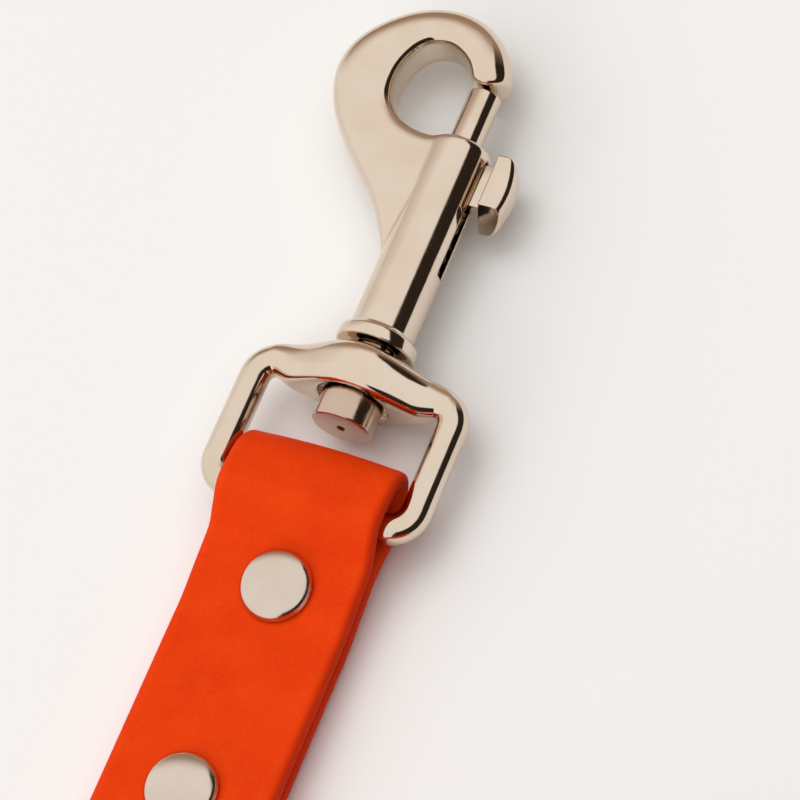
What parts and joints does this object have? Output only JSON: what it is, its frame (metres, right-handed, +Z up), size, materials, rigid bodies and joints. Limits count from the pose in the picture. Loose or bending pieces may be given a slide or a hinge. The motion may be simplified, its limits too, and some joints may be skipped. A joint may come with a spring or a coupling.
{
  "type": "training leash",
  "caption": "Flat coated strap leash: its end is folded and riveted round the bail of a swivelling bolt snap, and its length is stored as a coil with a riveted hand loop inside.",
  "frame": {"origin": "on the table, under the middle of the snap and the riveted strap end, measured without the stored strap", "axes": "+Y along the snap from the strap to the hook, +X across the strap towards the thumb knob, +Z up off the table"},
  "size_m": [0.1883, 0.3149, 0.0251],
  "materials": {
    "strap": "matte coated webbing",
    "nickel": "polished warm nickel",
    "spring": "drawn spring wire"
  },
  "bodies": {
    "strap": {"strap_hook_end": "strap", "strap_run": "strap", "strap_coil": "strap", "strap_hand_loop": "strap", "hook_rivet_1_cap": "nickel", "hook_rivet_1_post": "nickel", "hook_rivet_2_cap": "nickel", "hook_rivet_2_post": "nickel", "handle_rivet_1_cap": "nickel", "handle_rivet_1_post": "nickel", "handle_rivet_2_cap": "nickel", "handle_rivet_2_post": "nickel"},
    "bail": {"bail": "nickel"},
    "snap": {"snap_body": "nickel", "swivel_pin": "nickel", "bolt_spring": "spring"},
    "bolt": {"snap_bolt": "nickel", "thumb_knob": "nickel"}
  },
  "joints": [
    {"name": "bail_pivot", "type": "hinge", "parent": "strap", "child": "bail", "pos_m": [0.00298, -0.01125, 0.007], "axis": [1, 0, 0], "range_deg": [-120, 120]},
    {"name": "snap_swivel", "type": "hinge", "parent": "bail", "child": "snap", "pos_m": [0.00298, 0.01385, 0.007], "axis": [0, 1, 0], "continuous": true},
    {"name": "bolt_slide", "type": "slide", "parent": "snap", "child": "bolt", "axis": [0, -1, 0], "range_m": [0, 0.011], "stiffness_N_per_m": 300, "springref_m": -0.006, "deforming": ["bolt_spring"]}
  ]
}
